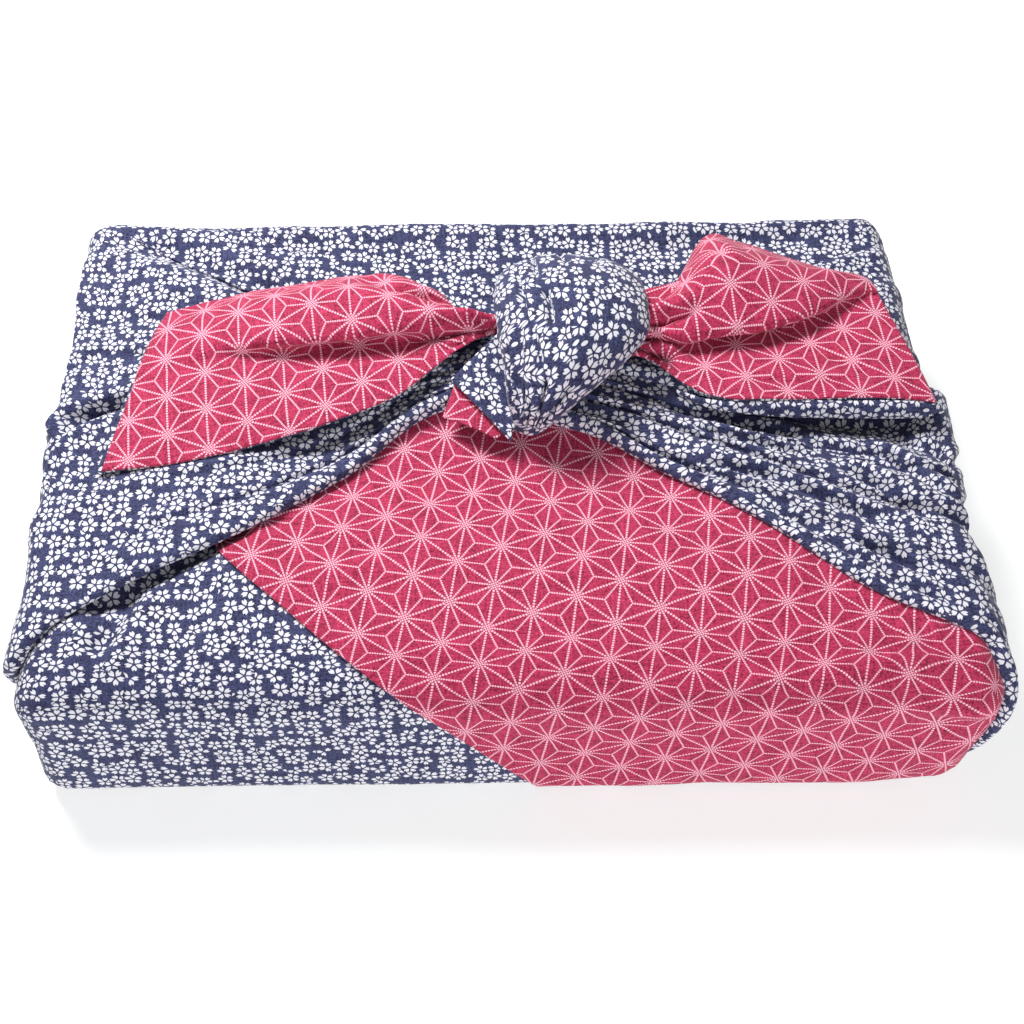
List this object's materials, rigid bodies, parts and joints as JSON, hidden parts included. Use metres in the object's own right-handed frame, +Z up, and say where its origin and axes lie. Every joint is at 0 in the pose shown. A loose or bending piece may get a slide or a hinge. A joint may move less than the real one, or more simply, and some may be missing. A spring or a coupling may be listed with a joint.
{
  "type": "furoshiki wrap",
  "caption": "Reversible cotton wrapping cloth tied over a low, flat bundle: blossom cloth outside, star-lattice reverse shown on the front fold and both knot tails.",
  "frame": {"origin": "centre of the bundle's flat underside", "axes": "+X along the long side, to the right with the knot's front fold towards the viewer; +Y to the back; +Z up"},
  "size_m": [0.4166, 0.2717, 0.123],
  "materials": {
    "navy_cloth": "matt printed cotton",
    "crimson_cloth": "matt printed cotton"
  },
  "bodies": {
    "root": {"face_cloth": "navy_cloth", "reverse_front": "crimson_cloth", "reverse_tail_left": "crimson_cloth", "reverse_tail_right": "crimson_cloth"}
  },
  "joints": []
}
